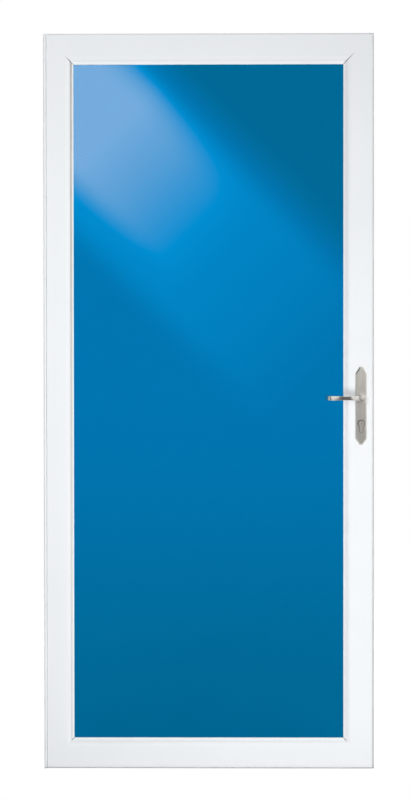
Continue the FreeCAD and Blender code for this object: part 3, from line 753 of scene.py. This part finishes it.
frameHeads = hingeHeads(hingeScrews["frameFace"], 0.0, (1, 0, 0))
doorHeads = hingeHeads(hingeScrews["doorFace"], hingeScrews["stagger"], (-1, 0, 0))
strikeHeads = endHeads("strike_plate", (-1, 0, 0), "lock", lockScrews["strike"])
faceHeads = endHeads("lock_faceplate", (1, 0, 0), "lock", lockScrews["face"])
plateHeads = endHeads("inside_plate", (0, 1, 0), "plate", lockScrews["plate"])
putPiece("surround_screws", railHeads(), whiteEnamel, "surround")
putPiece("hinge_frame_screws", frameHeads, lockSteel, "surround")
putPiece("hinge_door_screws", doorHeads, lockSteel, "leaf")
putPiece("strike_screws", strikeHeads, lockSteel, "surround")
putPiece("faceplate_screws", faceHeads, lockSteel, "leaf")
putPiece("inside_plate_screws", plateHeads, nickelUpright, "leaf")
print("screw heads made")


# Mitre joints

mitreLook = {
    "edge": 5.5, "flatEnd": 62.0, "run": 15.0, "drop": 6.0, "recess": 1.3, "crown": 1.2, "glassEnd": 84.0,
    "lipDepth": 11.0, "beadFlat": 68.0, "beadEnd": 79.7, "beadDrop": 14.6, "backStart": 12.0,
    "wideEnd": 0.16, "slimStart": 0.34, "frontWidth": (1.0, 0.12), "backWidth": (0.35, 0.15),
    "knot": 0.7, "knotReach": 3.0, "thick": 0.07, "rows": 90, "columns": 16,
    "openTo": {(0, 0): 0.35, (1, 0): 0.4, (0, 1): 1.0, (1, 1): 1.4},    # by corner: 1 is lock side, head
}


def frontDepth(n):
    # depth of the front at a distance n from the outline: rounded edge, flat, rolled bevel, sloping gasket
    look = mitreLook
    bevelEnd = look["flatEnd"] + look["run"]
    gasketTop = look["drop"] + look["recess"]
    slopeStart = bevelEnd + look["crown"]
    gasket = np.interp(n, [slopeStart, look["glassEnd"]], [gasketTop, look["lipDepth"]])
    rolled = (look["run"] ** 2 + look["drop"] ** 2) / (2.0 * look["drop"])
    past = np.clip(n - look["flatEnd"], 0.0, look["run"])
    short = np.clip(look["edge"] - n, 0.0, look["edge"])
    rolledDepth = rolled - np.sqrt(rolled ** 2 - past ** 2)
    metal = rolledDepth + look["edge"] - np.sqrt(look["edge"] ** 2 - short ** 2)
    return np.where(n > bevelEnd, gasket, metal)


def backDepth(n):
    # depth of the back at a distance n from the outline: flat, then the bead's slope down to the glass
    look = mitreLook
    return np.interp(n, [look["beadFlat"], look["beadEnd"]], [0.0, look["beadDrop"]])


def mitreLine(start, end, corner, facing, depthOf, widths):
    # a flat ellipse carried along the corner's diagonal, from the glass outwards; off the diagonal the
    # surface is that of the nearer member, so the depth there is the one at n less the shift. openTo
    # stretches the open part
    look = mitreLook
    n = np.linspace(start, end, look["rows"])
    along = np.linspace(0.0, 1.0, look["rows"]) / look["openTo"][corner]
    slim = smoothStep(along, look["wideEnd"], look["slimStart"])
    knot = np.exp(-((n - look["flatEnd"] - look["run"]) / look["knotReach"]) ** 2)
    half = (widths[0] + (widths[1] - widths[0]) * slim) * (1.0 + look["knot"] * knot)
    thick = np.full(look["rows"], look["thick"])
    half[[0, -1]] = 0.0
    thick[[0, -1]] = 0.0
    n[1], n[-2] = n[0], n[-1]
    angle = fullTurn(look["columns"])
    sideX, fromX = (-1.0, leafHigh.x) if corner[0] else (1.0, leafLow.x)
    sideZ, fromZ = (-1.0, leafHigh.z) if corner[1] else (1.0, leafLow.z)
    faceY = leafLow.y if facing < 0 else leafHigh.y
    shift = half[:, None] * np.cos(angle) / math.sqrt(2.0)
    x = fromX + sideX * mm * (n[:, None] + shift)
    z = fromZ + sideZ * mm * (n[:, None] - shift)
    y = faceY - facing * mm * (depthOf(n[:, None] - np.abs(shift)) - thick[:, None] * np.sin(angle))
    mapped = np.stack(np.broadcast_arrays(along[:, None], angle / (2.0 * np.pi)), axis=-1).reshape(-1, 2)
    return gridPoints(x, y, z), layQuads(look["rows"], look["columns"], False, True), mapped


for faceName, facing, depthOf, start, end, widths in (
    ("front", -1.0, frontDepth, mitreLook["glassEnd"], mitreLook["edge"], mitreLook["frontWidth"]),
    ("back", 1.0, backDepth, mitreLook["beadEnd"], mitreLook["backStart"], mitreLook["backWidth"]),
):
    lines = [mitreLine(start, end, corner, facing, depthOf, widths) for corner in mitreLook["openTo"]]
    putPiece(faceName + "_mitre_joints", [line[:2] for line in lines], mitreJoint, "leaf",
             mapped=np.concatenate([line[2] for line in lines]))


seamLook = {"radius": 0.45, "lockRadius": 0.22, "sink": 0.15, "columns": 12, "rows": 24}


def glazingBead(side, radius):
    # a circle carried up the joint between bevel and gasket, its ends drawn in to a point
    look = seamLook
    joint = mitreLook["flatEnd"] + mitreLook["run"]
    size = np.full(look["rows"], radius)
    size[[0, -1]] = 0.0
    z = np.linspace(leafLow.z + joint * mm, leafHigh.z - joint * mm, look["rows"])
    z[1], z[-2] = z[0], z[-1]
    angle = fullTurn(look["columns"])
    outline = leafLow.x if side > 0 else leafHigh.x
    x = outline + mm * (side * joint + size[:, None] * np.cos(angle))
    y = leafLow.y + mm * (mitreLook["drop"] + look["sink"] + size[:, None] * np.sin(angle))
    return gridPoints(x, y, z[:, None]), layQuads(look["rows"], look["columns"], False, True)


# dark beads of painted shade in the joint beside the gasket, thicker on the hinge side
seams = [glazingBead(1.0, seamLook["radius"]), glazingBead(-1.0, seamLook["lockRadius"])]
putPiece("painted_seam_shade", seams, paintedSeamShade, "leaf")
print("mitre joints and glazing seams made")


# Camera

cameraLook = {
    "at": (0.482, -4.5, 1.0698), "yaw": -0.449, "pitch": -0.625, "roll": -0.049,
    "focalPixels": 1622.3, "imageHeight": 800.0, "sensor": 36.0,
}


def aimed(at, forward):
    return Matrix.Translation(at) @ forward.to_track_quat("-Z", "Y").to_matrix().to_4x4()


def makeCamera():
    look = cameraLook
    yaw, pitch, roll = (math.radians(look[turn]) for turn in ("yaw", "pitch", "roll"))
    forward = Vector((math.sin(yaw) * math.cos(pitch), math.cos(yaw) * math.cos(pitch), math.sin(pitch)))
    data = bpy.data.cameras.new("viewer")
    data.sensor_width = look["sensor"]
    data.lens = look["focalPixels"] * look["sensor"] / look["imageHeight"]
    viewer = bpy.data.objects.new("viewer", data)
    viewer.matrix_world = aimed(Vector(look["at"]), forward) @ Matrix.Rotation(roll, 4, "Z")
    bpy.context.scene.collection.objects.link(viewer)
    bpy.context.scene.camera = viewer


makeCamera()
bpy.context.scene.view_settings.view_transform = "Standard"
print("camera set")


# Stage: floor, world, reflection cards

stageLook = {
    "floorX": (-3.2, 4.1), "floorY": (-0.09, 3.5), "floorDrop": 0.0008,
    "floorColour": (0.50, 0.50, 0.50, 1.0), "floorGlow": 0.88, "glassGlow": 0.755,
    "worldWhite": (1.0, 1.0, 1.0, 1.0), "worldFill": (0.390, 0.393, 0.396, 1.0),
}


def stageSheet(name, corners, material):
    mesh = bpy.data.meshes.new(name)
    mesh.from_pydata(corners, [], [(0, 1, 2, 3)])
    mesh.materials.append(material)
    sheet = bpy.data.objects.new(name, mesh)
    bpy.context.scene.collection.objects.link(sheet)
    return sheet


def seenPlainly(tree, plain=1.0, through=1.0):
    # plain for rays from the camera or off a gloss, through for rays that come through the glass
    path = addNode(tree, "ShaderNodeLightPath").outputs
    either = reckon(tree, "MAXIMUM", path["Is Camera Ray"], path["Is Glossy Ray"])
    direct = reckon(tree, "SUBTRACT", either, path["Is Transmission Ray"], clamp=True)
    passed = reckon(tree, "MULTIPLY", path["Is Transmission Ray"], through)
    return reckon(tree, "ADD", reckon(tree, "MULTIPLY", direct, plain), passed)


def emptyTree(name):
    material = bpy.data.materials.new(name)
    material.use_nodes = True
    tree = material.node_tree
    tree.nodes.clear()
    return material, tree, addNode(tree, "ShaderNodeOutputMaterial").inputs["Surface"]


def makeFloor():
    # pale floor; a glow for plain sight lifts it to white and leaves the shadow on it
    look = stageLook
    material, tree, surface = emptyTree("paleFloor")
    matt = addNode(tree, "ShaderNodeBsdfDiffuse", {"Color": look["floorColour"]})
    lift = seenPlainly(tree, look["floorGlow"], look["glassGlow"])
    glow = addNode(tree, "ShaderNodeEmission", {"Strength": lift})
    both = addNode(tree, "ShaderNodeAddShader")
    plug(tree, both.inputs[0], matt.outputs[0])
    plug(tree, both.inputs[1], glow.outputs[0])
    plug(tree, surface, both.outputs[0])
    material.cycles.emission_sampling = "NONE"
    level = leafLow.z - look["floorDrop"]    # the sweep's soft fins press on it
    (left, right), (near, far) = look["floorX"], look["floorY"]
    corners = [(left, near, level), (right, near, level), (right, far, level), (left, far, level)]
    return stageSheet("floor", corners, material)


def makeWorld():
    look = stageLook
    world = bpy.data.worlds.new("studio")
    bpy.context.scene.world = world
    world.use_nodes = True
    tree = world.node_tree
    tree.nodes.clear()
    colour = mixColour(tree, seenPlainly(tree), look["worldFill"], look["worldWhite"])
    light = addNode(tree, "ShaderNodeBackground", {"Color": colour, "Strength": 1.0})
    plug(tree, addNode(tree, "ShaderNodeOutputWorld").inputs["Surface"], light.outputs[0])
    world.cycles.sampling_method = "NONE"


# The card behind the camera is what the glass mirrors: dark, with a soft slanting sky-blue beam in a wider
# halo. Its pattern is written in metres on the glass; the mirror widens it by spread about the camera's X, Z.
cardLook = {
    "behind": -5.0, "spread": 2.112, "x": (0.055, 0.856), "z": (0.05, 1.985),
    "start": (0.3363, 1.9044), "skyLight": 0.156, "skyFade": (0.16, 1.02), "strength": 13.1,
    "beam": {"edge": 0.0, "soft": 0.112, "widen": 0.133, "trail": (-0.413, -0.329), "long": 0.475,
             "bend": 1.86, "light": 0.641},
    "halo": {"edge": 0.092, "soft": 0.178, "widen": 0.0, "trail": (-0.526, -0.406), "long": 0.853,
             "bend": 0.80, "light": 0.2025},
    "colours": ((0.0, (0.0, 0.0, 0.0)), (0.147, (0.0, 0.0754, 0.2667)), (0.353, (0.0, 0.2816, 0.7346)),
                (0.627, (0.193, 0.4347, 0.7986)), (1.0, (0.3903, 0.591, 0.9224))),
}


def slantedLight(tree, past, along, part):
    # past runs across the beam and along its length: a soft edge that widens on the way, a trail on the other
    # side, and a light that falls off to nothing at the end
    far = reckon(tree, "MAXIMUM", along, 0.0)
    soft = reckon(tree, "ADD", product(tree, far, part["widen"]), part["soft"])
    inner = reckon(tree, "SUBTRACT", part["edge"], soft)
    edge = fade(tree, past, inner, part["edge"], start=1.0, end=0.0)
    trail = fade(tree, past, *part["trail"])
    left = reckon(tree, "SUBTRACT", 1.0, reckon(tree, "DIVIDE", along, part["long"]), clamp=True)
    light = product(tree, reckon(tree, "POWER", left, part["bend"]), part["light"])
    return product(tree, light, edge, trail), edge


def reflectedOnly(tree, kind, glow, surface):
    # a card shows in reflections of one kind: every other ray goes through it, and what the glass mirrors
    # sharply isn't counted as gloss
    path = addNode(tree, "ShaderNodeLightPath").outputs
    mix = addNode(tree, "ShaderNodeMixShader")
    shown = product(tree, path["Is Reflection Ray"], path[kind])
    if kind == "Is Glossy Ray":
        shown = reckon(tree, "SUBTRACT", shown, path["Is Singular Ray"], clamp=True)
    plug(tree, mix.inputs[0], shown)
    plug(tree, mix.inputs[1], addNode(tree, "ShaderNodeBsdfTransparent").outputs[0])
    plug(tree, mix.inputs[2], glow.outputs[0])
    plug(tree, surface, mix.outputs[0])


def makeBeamCard():
    look = cardLook
    material, tree, surface = emptyTree("beamCard")
    place = placeOf(tree)
    foot = {"X": cameraLook["at"][0], "Z": cameraLook["at"][2]}
    onGlass = {}
    for axis in foot:
        away = reckon(tree, "DIVIDE", reckon(tree, "SUBTRACT", place[axis], foot[axis]), look["spread"])
        onGlass[axis] = reckon(tree, "ADD", away, foot[axis])
    fromX = reckon(tree, "SUBTRACT", onGlass["X"], look["start"][0])
    fromZ = reckon(tree, "SUBTRACT", onGlass["Z"], look["start"][1])
    diagonal = 1.0 / math.sqrt(2.0)
    past = product(tree, reckon(tree, "ADD", fromX, fromZ), diagonal)
    along = product(tree, reckon(tree, "SUBTRACT", fromX, fromZ), diagonal)
    beam = slantedLight(tree, past, along, look["beam"])[0]
    halo, haloEdge = slantedLight(tree, past, along, look["halo"])
    sky = product(tree, fade(tree, onGlass["Z"], *look["skyFade"]), look["skyLight"], haloEdge)
    light = reckon(tree, "ADD", reckon(tree, "ADD", beam, halo), sky, clamp=True)
    ramp = addNode(tree, "ShaderNodeValToRGB", {"Fac": light})
    stops = ramp.color_ramp.elements
    while len(stops) < len(look["colours"]):
        stops.new(1.0)
    for stop, (position, colour) in zip(stops, look["colours"]):
        stop.position = position
        stop.color = (*colour, 1.0)
    glow = addNode(tree, "ShaderNodeEmission", {"Color": ramp.outputs["Color"], "Strength": look["strength"]})
    reflectedOnly(tree, "Is Singular Ray", glow, surface)
    material.cycles.emission_sampling = "NONE"
    left, right = (foot["X"] + look["spread"] * (x - foot["X"]) for x in look["x"])
    low, high = (foot["Z"] + look["spread"] * (z - foot["Z"]) for z in look["z"])
    y = look["behind"]
    corners = [(left, y, low), (left, y, high), (right, y, high), (right, y, low)]
    return stageSheet("beamCard", corners, material)


# Flags shade one kind of ray. The satin metal mirrors the first three: the lever's dark bands, the plate's
# darker foot and its dark upper bevel. The edge flags keep the fill off the leaf's sides, so its outline
# shows on white. A flag's tone goes from the first to the second of tones between two heights.
flagLook = {
    "behindFlag": {"shades": "Is Glossy Ray", "tones": (0.10, 0.10), "heights": (0.0, 1.0),
                   "x": (-6.0, 0.62), "y": (-5.1, -5.1), "z": (-6.0, 8.0)},
    "plateFlag": {"shades": "Is Glossy Ray", "tones": (0.0, 1.2), "heights": (0.457, 1.182),
                  "x": (0.62, 2.3), "y": (-5.1, -5.1), "z": (-6.0, 3.4)},
    "leftFlag": {"shades": "Is Glossy Ray", "tones": (0.65, 0.05), "heights": (2.0, 3.0),
                 "x": (-2.4, -2.4), "y": (-5.0, 0.5), "z": (-1.0, 5.0)},
    "leftEdgeFlag": {"shades": "Is Diffuse Ray", "tones": (0.04, 0.04), "heights": (0.0, 1.0),
                     "x": (-0.75, -0.75), "y": (-0.7, 0.6), "z": (-0.3, 2.6)},
    "rightEdgeFlag": {"shades": "Is Diffuse Ray", "tones": (0.04, 0.04), "heights": (0.0, 1.0),
                      "x": (1.66, 1.66), "y": (-0.7, 0.6), "z": (-0.3, 2.6)},
}


def makeFlag(name, look):
    material, tree, surface = emptyTree(name)
    level = fade(tree, placeOf(tree)["Z"], *look["heights"], *look["tones"], kind="LINEAR")
    glow = addNode(tree, "ShaderNodeEmission", {"Strength": level})
    reflectedOnly(tree, look["shades"], glow, surface)
    material.cycles.emission_sampling = "NONE"
    (left, right), (near, far), (foot, top) = look["x"], look["y"], look["z"]
    corners = [(left, near, foot), (left, near, top), (right, far, top), (right, far, foot)]
    return stageSheet(name, corners, material)


makeFloor()
makeWorld()
makeBeamCard()
for flagName, look in flagLook.items():
    makeFlag(flagName, look)
print("stage set")


# Lamps: the two in front make the frame's soft gradient, the two far ones behind light its sides and back

lampLook = {
    "lowRight": {"at": (1.4, -2.8, 0.20), "aim": (1.4, 0.0, 0.20),
                 "size": (1.0, 1.5), "spread": 180.0, "watts": 57.5},
    "highLeft": {"at": (-0.7, -6.0, 1.75), "aim": (-0.7, 0.0, 1.75),
                 "size": (1.5, 1.5), "spread": 50.0, "watts": 11.7},
    "farLeft": {"at": (-9.9, 6.5, 1.3), "aim": (0.46, 0.0, 1.0),
                "size": (3.0, 3.0), "spread": 180.0, "watts": 600.0},
    "farRight": {"at": (10.8, 6.5, 1.3), "aim": (0.46, 0.0, 1.0),
                 "size": (3.0, 3.0), "spread": 180.0, "watts": 490.0},
}


def makeLamp(name, look):
    data = bpy.data.lights.new(name, "AREA")
    data.shape = "ELLIPSE"
    data.size, data.size_y = look["size"]
    data.spread = math.radians(look["spread"])
    data.energy = look["watts"]
    lamp = bpy.data.objects.new(name, data)
    lamp.matrix_world = aimed(Vector(look["at"]), Vector(look["aim"]) - Vector(look["at"]))
    lamp.visible_camera = False
    lamp.visible_glossy = False
    lamp.visible_transmission = False
    bpy.context.scene.collection.objects.link(lamp)


for lampName, look in lampLook.items():
    makeLamp(lampName, look)
print("lamps set")

bpy.context.view_layer.update()
